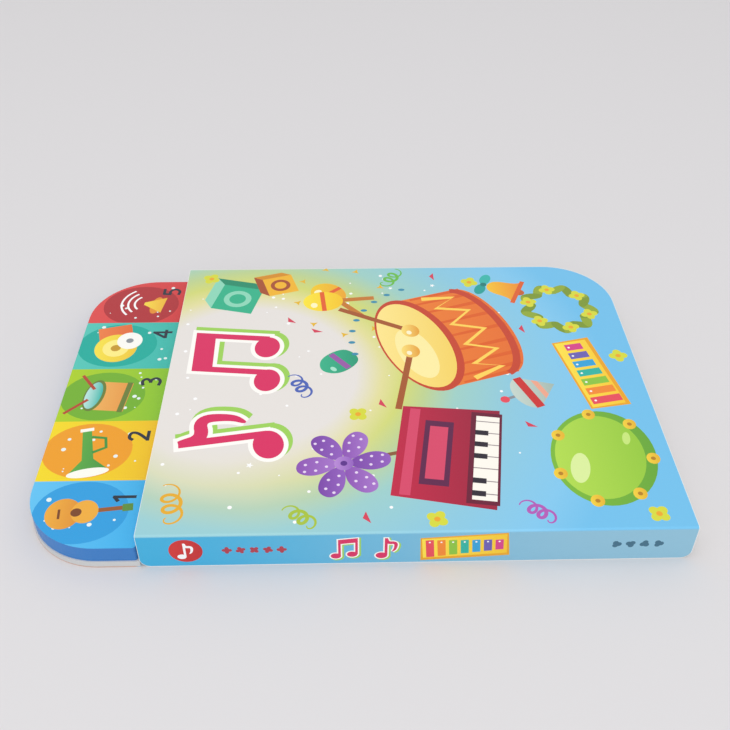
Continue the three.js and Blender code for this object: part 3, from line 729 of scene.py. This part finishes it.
def spine_drawing():
    """Small echoes of the cover along the spine, upright when the fold is at the top."""
    middle = cover_low[1] - (cover_high[2] - back_low[2]) / 2
    upright = -math.pi / 2

    def at(layers, x, scale=1.0, turn=0.0):
        """Layers on the spine's middle line, upright on a shelf."""
        return placed(layers, x, middle, upright + turn, scale)

    layers = at([(ellipse(0, 0, 6.2), 0xD8322C, 0xC42628)], -62)
    layers += at(single_note(0, 0xFFFFFF), -62.5, 0.23)
    for i in range(5):
        layers += at([(petals(0, 0, 1.9, 4, 0.45, 0.4 * i), 0xB23A4A)], -47 + 5.0 * i)
    layers += at(outlined(joined_notes), -4, 0.3)
    layers += at(outlined(single_note), 11, 0.3)
    layers += at(xylophone(), 40, 0.5, 0.07)
    for i in range(4):
        layers += at([(petals(0, 0, 1.9, 3, 0.35, 0.7 * i), 0x3F6E86)], 96 + 5.2 * i)
    return layers


cover_layers = cover_drawing()
print("the cover and the spine have", len(cover_layers), "layers")

# %% [markdown]
# Motifs of the panel
# The panel has smaller instruments, one for each sound. They are drawn as the cover's are, upright for a
# reader who holds the panel at the top.

# %% Motifs of the panel


def ukulele():
    """A small guitar: a waisted body with its hole and bridge, a neck and a head."""
    return [
        (bar(0, 12, 2.6, 20), 0x9A5A2B),
        (bar(0, 22, 4.6, 5), 0x5E8F3C),
        (ellipse(0, -8, 9.5, 8.5), 0xF0AE3C, 0xE0902E),
        (ellipse(0, 2, 7.2, 6.4), 0xF0AE3C),
        (ellipse(0, -2, 2.6, count=20), 0x7A4420),
        (bar(0, -10, 6, 1.2), 0x7A4420),
    ]


def trumpet():
    """A green horn with a white bell and one loop."""
    return [
        (np.array([(-14, -9), (-14, 9), (-6, 2.5), (12, 2), (12, -2), (-6, -2.5)]), 0x5FAE45, 0x3F9440),
        (ellipse(-14, 0, 2.6, 9), 0xFDFCF2),
        (ribbon([(-2, -2), (0, -8), (6, -8), (8, -2)], 1.6), 0x3F9440),
        (bar(13, 0, 2, 6), 0xFDFCF2),
    ]


def tom_drum():
    """A small drum with a teal head and two sticks."""
    return [
        (bar(0, -4, 19, 15), 0xF0B35E, 0xE89A45),
        (bar(0, -10, 20, 2.4), 0x6B7F36),
        (ellipse(0, 4, 10.5, 4.6), 0x6B7F36),
        (ellipse(0, 4.4, 9, 3.6), 0xBFE9E2, 0x35B9AE),
        (ribbon([(-13, 14), (-3, 6)], 1.5), 0xB6472F),
        (ribbon([(13, 13), (4, 5)], 1.5), 0xB6472F),
    ]


def cymbals():
    """A yellow cymbal and a white one before an orange block."""
    return [
        (bar(9, 0, 12, 16), 0xF08246, 0xE46B36),
        (ellipse(-2, 1, 10.5, 10), 0xF9E54A, 0xF2CB36),
        (ellipse(-2, 1, 6.5, 6.2), 0xFFF08A),
        (ellipse(-2, 1, 2.4, count=18), 0xC99A28),
        (ellipse(2, -6, 6.4, 6), 0xFDFCF6),
        (ellipse(2, -6, 1.8, count=14), 0x8E949A),
    ]


def horn():
    """A golden hand bell with three arcs of sound."""
    sound = [(ribbon(ellipse(2, -3, r, count=14, start=0.12, end=0.4), 1.1), 0xFFFFFF) for r in (7, 10.5, 14)]
    cone = np.array([(-3, -10), (5, -10), (1.6, -1), (0.4, -1)])
    return [(ellipse(1, -8, 7.5, 3), 0xE8912D), (cone * (1.7, 1.2), 0xF9DC4A, 0xF2B93A), *sound]


print("the guitar has", len(ukulele()), "layers")

# %% [markdown]
# The panel's drawing
# Five colour fields, one over each button. Each has a darker disc, an instrument and a plain numeral. The
# motifs lie at the panel's outer edge and the numerals by the cover.

# %% Lay out the panel
# The fields' inks: light, deep and the disc's
FIELD_INKS = (
    (0x62C4F4, 0x3DB2EE, 0x2C9FE0),
    (0xF6DC1E, 0xF2C41C, 0xF0A020),
    (0xAED11E, 0x8CC62F, 0x74B22C),
    (0x55C8BA, 0x3ABCB0, 0x12AE9F),
    (0xE04C4C, 0xD63E42, 0xB32F36),
)

# The motifs' places in the fields: from the outer edge, from the field's middle, turn and scale
MOTIFS = (
    (ukulele, 21, 1, math.pi + 0.12, 0.8),
    (trumpet, 17, 0, 0.2, 0.92),
    (tom_drum, 17, -1, -0.1, 0.96),
    (cymbals, 17, 0, 0.25, 0.96),
    (horn, 23, -3, -0.15, 0.9),
)


def panel_drawing():
    """The fields from the spine to the fore edge, each with a darker disc, its motif and a plain numeral."""
    layers = []
    width = (back_high[1] - back_low[1]) / len(MOTIFS)
    x0, x1 = panel_low[0], panel_high[0]
    for i, ((motif, along, across, turn, scale), (light, deep, disc)) in enumerate(zip(MOTIFS, FIELD_INKS)):
        low = back_low[1] + width * i + (0.5 if i == 0 else 0)
        high = back_low[1] + width * (i + 1) - (0.5 if i == len(MOTIFS) - 1 else 0)
        middle = back_low[1] + width * (i + 0.5)
        field = np.array([(x0, low), (x1, low), (x1, high), (x0, high)])
        round_disc = ellipse(x0 + along, middle + across, 18, 15.5)
        round_disc[:, 1] = np.clip(round_disc[:, 1], low + 0.1, high - 0.1)
        layers += [(field, light, deep), (round_disc, disc)]
        spots = rng.uniform((x0 + 5, low + 3), (x1 - 4, high - 3), (11, 2))
        layers += [(ellipse(x, y, 0.3 + 0.07 * k, count=10), 0xEAF7F6) for k, (x, y) in enumerate(spots)]
        layers += placed(motif(), x0 + along, middle + across, turn, scale)
        layers += placed(digit(i + 1), x1 - 8, middle + 8, 0, 1.3)
    return layers


panel_layers = panel_drawing()
print("the panel has", len(panel_layers), "layers")

# %% [markdown]
# Finishes of the printed sheets
# The wrap is laminated: a clear smooth film over the ink. Its ground glows from cream in the middle through
# yellow-green to sky blue. Rings in the drawing would show steps, so it is a ramp on the distance from the
# glow's middle.

# %% Print materials
GLOW = (-45.0, 5.0)
GLOW_REACH = 160.0
GLOW_TURN = (-140.0, 10.0)      # x + y, from the paler side of the glow to the brighter one
SPINE_PAINTED_LIGHT_SPAN = (-80.0, 100.0)     # painted light and shade: the spine's printed blue turns paler along its length
# Stops from the glow's middle outwards: yellow-green towards the fore edge, paler towards the spine
BRIGHT = ((0.31, 0xE8E3DF), (0.38, 0xE5E09E), (0.44, 0xD4DB76), (0.5, 0xBFD494), (0.58, 0xA0D1C8))
PALE = ((0.35, 0xE8E3DF), (0.43, 0xDCDEBE), (0.5, 0xB6D3BE), (0.57, 0x9CD0D6))
OUTER = ((0.74, 0x8ECBE2), (0.9, 0x84CAF0), (1.0, 0x72C2EE))


def ramp(share, *stops):
    """A colour that runs through the stops as share goes from 0 to 1."""
    coloured = [(place, colour(code)) for place, code in stops]
    return share.node("ShaderNodeValToRGB", {"stops": coloured}, Fac=share)


def laminated(start, ink_colour, where):
    """The film's gloss over the ink, with a faint unevenness."""
    film = noise(start, where, 0.06)
    return {
        "Base Color": ink_colour,
        "Roughness": film * 0.08 + 0.32,
        "Specular IOR Level": 0.3,
        "Coat Weight": 0.15,
        "Coat Roughness": 0.15,
        "Normal": relief(start, noise(start, where, 0.9), 0.05),
    }


def wrap_paint(start):
    """The wrap's ground by its distance from the glow and by its side, under the drawing's ink; on the spine,
    painted light and shade turn the printed blue paler along its length.
    """
    where, x, y, z = place_of(start)
    ink = start.node("ShaderNodeAttribute", {"attribute_name": "ink"})
    drawn = start.node("ShaderNodeAttribute", {"attribute_name": "ink"}, output=3)
    distance = ((x - GLOW[0]) ** 2.0 + (y - GLOW[1]) ** 2.0) ** 0.5 + noise(start, where, 0.02) * 6
    share = distance * (1 / GLOW_REACH)
    bright, pale = ramp(share, *BRIGHT, *OUTER), ramp(share, *PALE, *OUTER)
    glow = (x + y).step(*GLOW_TURN).mix(pale, bright)
    # painted light and shade: the spine's printed blue turns paler along its length
    side = x.step(*SPINE_PAINTED_LIGHT_SPAN).mix(colour(0x3DB2E0), colour(0x90C2DA))
    top = float(cover_high[2])
    ground = z.step(top - 1.2, top - 0.3).mix(side, glow)
    return laminated(start, drawn.mix(ground, ink), where)


def panel_paint(start):
    """The panel's sheet and the endpapers: the drawing's ink alone."""
    where, *_ = place_of(start)
    ink = start.node("ShaderNodeAttribute", {"attribute_name": "ink"})
    return laminated(start, ink, where)


wrap_finish = material("laminated_wrap", wrap_paint)
panel_finish = material("laminated_panel", panel_paint)
print("finishes:", wrap_finish.name, "and", panel_finish.name)

# %% [markdown]
# Folding the wrap
# On the real book one sheet covers the front board and the spine, with no seam on the fold. It could be two
# plates with a bevel between them. Here it is drawn flat and folded on a quarter circle, which catches a line
# of light as in the photograph.

# %% The wrap over the front cover and the spine
FOLD = 0.9               # radius of the bend, in millimetres as all of these
SHEET = 0.25
WHITE_EDGE = 0.15
SQUARE, SPINE_CORNER, COVER_CORNER = 0.0, 4.0, 30.0
FOLD_LINES, PAST_FOLD, PAST_EDGE = 13, 1.5, 5


def folded(flat):
    """Flat places to the book: the sheet follows a quarter circle at the fold and hangs down beyond it."""
    past = flat[:, 1] - cover_low[1]
    angle = np.clip((past + FOLD) / (2 * FOLD), 0, 1) * math.pi / 2
    top = cover_high[2]
    y = cover_low[1] + FOLD * (1 - np.cos(angle)) + np.maximum(past - FOLD, 0)
    z = top - FOLD * (1 - np.sin(angle)) + np.minimum(past + FOLD, 0)
    return np.stack([flat[:, 0], y, z], axis=1)


def wrap_outline(margin):
    """The flat sheet: the cover with its rounded far corner, and the spine with two small ones."""
    drop = cover_high[2] - back_low[2]
    low = (cover_low[0], cover_low[1] - drop)
    return corner_outline(low, cover_high, (SPINE_CORNER, SPINE_CORNER, COVER_CORNER, SQUARE), margin)


fold_lines = [
    [(cover_low[0] - PAST_EDGE, cover_low[1] + offset), (cover_high[0] + PAST_EDGE, cover_low[1] + offset)]
    for offset in np.linspace(-PAST_FOLD * FOLD, PAST_FOLD * FOLD, FOLD_LINES)
]
wrap_mesh = cut_sheet("cover_wrap", wrap_outline(0), wrap_outline(WHITE_EDGE), cover_layers, fold_lines)
cover_wrap = piece("cover_wrap", wrap_mesh, wrap_finish, None, folded, SHEET)
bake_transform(cover_wrap)

# %% [markdown]
# The panel's printed sheet
# On the real book this is laminated card over the buttons, which the model has as a plain plate. A cut
# drawing with the same outline and height takes its place, so the fields are sharp and the rim stays white.

# %% Panel sheet
PANEL_ROUND, PANEL_SQUARE, PANEL_STEPS = 29.5, 1.5, 20
PANEL_EDGE = 0.45


def panel_outline(margin):
    """The panel from above: two large corners at the book's end and two small ones by the cover."""
    radii = (PANEL_ROUND, PANEL_SQUARE, PANEL_SQUARE, PANEL_ROUND)
    return corner_outline(panel_low, panel_high, radii, margin, PANEL_STEPS)


panel_mesh = cut_sheet("panel_sheet", panel_outline(0), panel_outline(PANEL_EDGE), panel_layers)
panel_wall, lift = panel_high[2] - panel_low[2], (0, 0, panel_high[2])
panel_sheet = piece(
    "panel_sheet", panel_mesh, panel_finish, "book", lambda flat: flat + lift, panel_wall
)
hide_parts("panel_print")

# %% [markdown]
# Boards with pressed edges
# The cutting knife presses a board's edges round. A Bevel modifier could do that, but on an outline of short
# segments it pinches. So each board is a stack of rings of its outline, which step in and up along a quarter
# circle at the foot and at the top.

# %% Front and spine boards


def pressed_board(name, outline, z0, z1, radius, steps=4):
    """Rings of the outline, set in by the radius times one less the sine, at heights along the round."""
    angle = np.linspace(0, math.pi / 2, steps)
    inset = radius * (1 - np.sin(angle))
    rise = radius * (1 - np.cos(angle))
    levels = np.concatenate([z0 + rise, (z1 - rise)[::-1]])
    rings = [outline(margin) for margin in np.concatenate([inset, inset[::-1]])]
    count = len(rings[0])
    points = np.concatenate([np.column_stack([ring, np.full(count, z)]) for ring, z in zip(rings, levels)])
    start = np.arange(len(rings) - 1)[:, None] * count + np.arange(count)
    after = np.arange(len(rings) - 1)[:, None] * count + (np.arange(count) + 1) % count
    walls = np.stack([start, after, after + count, start + count], axis=-1).reshape(-1, 4).tolist()
    caps = [list(range(count))[::-1], list(range(len(points) - count, len(points)))]
    mesh = bpy.data.meshes.new(name)
    mesh.from_pydata(points.tolist(), [], walls + caps)
    return mesh


def board_paint(start):
    """Pale board with short fibres."""
    where, _, _, z = place_of(start)
    fibre = noise(start, where, 2.2, 4.0)
    ink = (fibre * 0.7 + 0.1).mix(colour(0xEDE8DD), colour(0xDCD5C6))
    return {"Base Color": ink, "Roughness": 0.8, "Normal": relief(start, fibre, 0.25)}


board_finish = material("pale_board", board_paint)
BEHIND = SHEET + 0.08
SET_IN = 0.05            # the board ends just inside the sheet's edge
GLUE = 0.02              # between the board and the sheet
FRONT_ROUND, SPINE_ROUND = 0.35, 0.3


def front_outline(margin):
    """The front board from above, behind the sheet's fold."""
    low = (cover_low[0] + SET_IN, cover_low[1] + BEHIND)
    return corner_outline(low, cover_high - SET_IN, (SQUARE, SQUARE, COVER_CORNER, SQUARE), margin)


front_top = cover_high[2] - SHEET - GLUE
front_mesh = pressed_board("front_board", front_outline, cover_low[2], front_top, FRONT_ROUND)
front_board = piece("front_board", front_mesh, board_finish, "cover", lambda place: place)
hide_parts("front_cover")


def spine_outline(margin):
    """The spine board from the front: its length runs right and its height up."""
    low, high = (spine_low[0] + SET_IN, spine_low[2]), (spine_high[0] - SET_IN, spine_high[2])
    return corner_outline(low, high, (SPINE_CORNER, SPINE_CORNER, SQUARE, SQUARE), margin)


def stood(place):
    """Stand the spine's flat outline on edge: its height becomes Z and its thickness runs to +Y."""
    return np.stack([place[:, 0], -place[:, 2], place[:, 1]], axis=1)


spine_face = -spine_low[1] - SHEET - GLUE
spine_mesh = pressed_board("spine_board", spine_outline, -spine_high[1], spine_face, SPINE_ROUND)
spine_board = piece("spine_board", spine_mesh, board_finish, "book", stood)
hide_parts("spine")
print("the front board has", len(front_mesh.vertices), "points and the spine's", len(spine_mesh.vertices))

# %% [markdown]
# Endpapers
# Printed paper lines the inside of the front cover and the first page, and shows when the cover is opened. A
# material on the boards would also colour their edges, so each lining is a thin sheet of its own, straw
# yellow with scattered notes, flowers and dots.

# %% Endpapers on the cover's inside and on the first page
ENDPAPER = 0.05
MARGIN, GUTTER = 0.6, 9  # the endpapers stop short of the edges, and the first page's of the spine
ROW_STEP = 24
PAGE_CORNER, LINING_CORNER = 28.5, 29.5


def endpaper_drawing(low, high):
    """Notes and flowers in staggered rows, between dots."""
    layers = confetti(low + 4, high - 4, 90)
    rows = np.arange(low[0] + 16, high[0] - 8, ROW_STEP)
    columns = np.arange(low[1] + 14, high[1] - 8, ROW_STEP)
    for i, x in enumerate(rows):
        for j, y in enumerate(columns + ROW_STEP / 4 * (i % 2)):
            motif = (joined_notes(0, 0xF0A860), flower(), single_note(0, 0x8CC9C0))[(i + 2 * j) % 3]
            layers += placed(motif, x, y, 0.7 * i + j, 0.2 if len(motif) > 2 else 0.8)
    return layers


def endpaper(name, low, high, corner, z, facing, body):
    """A sheet just inside the given box, with its print facing up or down."""
    low, high = low[:2] + MARGIN, high[:2] - MARGIN
    edge = corner_outline(low, high, (SQUARE, SQUARE, corner, SQUARE))
    mesh = cut_sheet(name, edge, edge, [(edge, 0xFBF0BE), *endpaper_drawing(low, high)])
    if facing < 0:
        mesh.flip_normals()
    piece(name, mesh, panel_finish, body, lambda flat: flat + (0, 0, z), ENDPAPER)


page_top, cover_foot = page_high[2] + ENDPAPER, cover_low[2] - ENDPAPER
endpaper("first_page", page_low + (0, GUTTER, 0), page_high, PAGE_CORNER, page_top, 1, "book")
endpaper("cover_lining", cover_low, cover_high, LINING_CORNER, cover_foot, -1, "cover")

# %% [markdown]
# Finishes of the carried-over pieces
# The back cover, the pages, the panel and everything inside it keep their shapes. Each gets a material that
# reads its own place on the book, such as print on the underside and bare board at the cut edge, because that
# needs no seams or maps.

# %% Materials for the model's own pieces
PANEL_END = (-82.0, -79.0)      # where the back's print changes colour, along X
FOOT_INK, FOOT_GLOSS = (0.32, 0.42), (0.3, 0.4)


def back_paint(start):
    """Print on the underside, a thin line of its film round the foot, and pale board above."""
    where, x, _, z = place_of(start)
    fibre = noise(start, where, 2.2, 4.0)
    board = (fibre * 0.7 + 0.1).mix(colour(0xD7D8D8), colour(0xC3C4C4))
    printed = x.step(*PANEL_END).mix(colour(0xC79A86), colour(0x7CC6EA))
    ink = z.step(*FOOT_INK).mix(printed, board)
    rough = z.step(*FOOT_GLOSS) * 0.4 + 0.4
    return {"Base Color": ink, "Roughness": rough, "Normal": relief(start, fibre, 0.2)}


def page_paint(start):
    """White coated leaves with a soft fibre on their cut edges and a pale tint on the first face."""
    where, _, _, z = place_of(start)
    fibre = noise(start, where, 1.6, 3.0)
    paper = (fibre * 0.5).mix(colour(0xF7F5EF), colour(0xE6E1D6))
    tint = z.step(float(page_high[2]) - 0.1, float(page_high[2]) - 0.05).mix(paper, colour(0xFBF3C4))
    return {"Base Color": tint, "Roughness": 0.6, "Normal": relief(start, fibre, 0.15)}


def moulded(code, rough, grain=1.2):
    """Moulded plastic: an even colour that drifts a little, with a fine spark-eroded grain."""

    def paint(start):
        """The values of this plastic."""
        where, *_ = place_of(start)
        drift = noise(start, where, 0.03)
        grain_height = noise(start, where, grain, 3.0)
        return {
            "Base Color": drift.mix(colour(code), colour(code, 0.86)),
            "Roughness": grain_height * 0.1 + rough,
            "Normal": relief(start, grain_height, 0.08),
        }

    return paint


def bright_metal(code, rough):
    """Metal whose polish varies in fine streaks."""

    def paint(start):
        """The values of this metal."""
        where, *_ = place_of(start)
        streak = noise(start, where, 3.0, 4.0)
        return {
            "Base Color": streak.mix(colour(code), colour(code, 0.8)),
            "Metallic": 1.0,
            "Roughness": streak * 0.15 + rough,
        }

    return paint


def numbered(stem, count):
    """A node's name with each number from 1 to count."""
    return [f"{stem}_{i}" for i in range(1, count + 1)]


# Each finish: its paint, then the nodes that it covers
FINISHES = {
    "back_board": (back_paint, "back_cover"),
    "page_leaves": (page_paint, "page_block"),
    "housing_blue": (moulded(0x3481CE, 0.42), "panel_housing"),
    "base_white": (moulded(0xDDE2E6, 0.45), "panel_base", "battery_door"),
    "soft_caps": (moulded(0xD6D6CF, 0.7), *numbered("button_cap", 5)),
    "board_green": (moulded(0x2C7A45, 0.4, 0.6), "circuit_board"),
    "black_moulding": (
        moulded(0x1E1E20, 0.45), "sound_chip", "switch_knob", "speaker_magnet", "speaker_wire_2",
    ),
    "red_insulation": (moulded(0xC2302A, 0.5), "speaker_wire_1"),
    "light_lens": (moulded(0xFFF0C4, 0.2), "panel_light"),
    "cone_film": (moulded(0xE6E2D2, 0.3), "speaker_cone"),
    "steel": (
        bright_metal(0xC3C5C8, 0.25), "speaker_frame", "microphone", "switch_case", "battery_door_screw",
        *numbered("board_screw", 4), *numbered("case_screw", 4), *numbered("button_cell", 3),
    ),
    "brass": (
        bright_metal(0xD8B066, 0.25), "negative_contact", "lower_link", "upper_link", "positive_contact",
    ),
}
for finish_name, (paint, *nodes) in FINISHES.items():
    finish = material(finish_name, paint)
    for node in nodes:
        carried = bpy.data.objects[node]
        carried.data.materials.clear()
        carried.data.materials.append(finish)
    print(finish_name, "on", len(nodes), "pieces")

# %% [markdown]
# Floor
# A pale floor that runs out of view and takes the book's shadow. From below the floor is clear, and so it is
# to rays that have come less than a millimetre, so the book's underside can be looked at too.

# %% Floor
FLOOR_SIZE = 60.0
FLOOR_GAP = 0.05 * MM
CONTACT = (0.5 * MM, 1.0 * MM)

floor_mesh = bpy.data.meshes.new("floor")
floor_corners = [(x, y, -FLOOR_GAP) for x, y in bar(0, 0, FLOOR_SIZE, FLOOR_SIZE)]
floor_mesh.from_pydata(floor_corners, [], [(0, 1, 2, 3)])
floor = linked("floor", floor_mesh)
floor_paper = material("floor_paper", lambda start: {"Base Color": colour(0xDEDCDE), "Roughness": 0.9})
start = Link(floor_paper.node_tree)
paper = Link(start.tree, start.tree.nodes["Principled BSDF"].outputs[0])
behind = start.node("ShaderNodeNewGeometry", output="Backfacing")
away = start.node("ShaderNodeLightPath", output="Ray Length").step(*CONTACT)
clear = start.node("ShaderNodeBsdfTransparent")
surface = start.node("ShaderNodeMixShader", i0=1 - (1 - behind) * away, i1=paper, i2=clear)
start.feed(start.tree.nodes["Material Output"].inputs["Surface"], surface)
floor_mesh.materials.append(floor_paper)
print("the floor lies", FLOOR_GAP / MM, "mm under the book")

# %% [markdown]
# World and lamps
# An even pale sky gives most of the light. A broad soft lamp over the book and a wide, weak one from the
# front add to it, so the shadows stay faint as in the photograph. The camera sees the sky in the backdrop's
# colour.

# %% World and lamps
SKY_LIGHT = 0.74

world = bpy.data.worlds.new("studio")
world.use_nodes = True
sky = Link(world.node_tree)
seen = sky.node("ShaderNodeLightPath", output=0)
background = world.node_tree.nodes["Background"].inputs
sky.feed(background["Color"], seen.mix(colour(0xFFFFFF), colour(0xE8E6E8)))
sky.feed(background["Strength"], SKY_LIGHT)
bpy.context.scene.world = world


def lamp(name, place, power, size):
    """A square soft lamp that points at the book."""
    data = bpy.data.lights.new(name, "AREA")
    data.energy = power
    data.size = size
    made = linked(name, data)
    made.location = place
    made.rotation_euler = (-Vector(place)).to_track_quat("-Z", "Y").to_euler()


lamp("top_lamp", (-0.1, -0.3, 1.5), 6.0, 1.4)
lamp("front_lamp", (0.0, -1.5, 0.7), 5.5, 1.2)
bpy.context.scene.view_settings.view_transform = "Standard"
print(len(bpy.data.lights), "lamps and a sky of", SKY_LIGHT)

# %% [markdown]
# The new pieces must stay inside the model's own box.
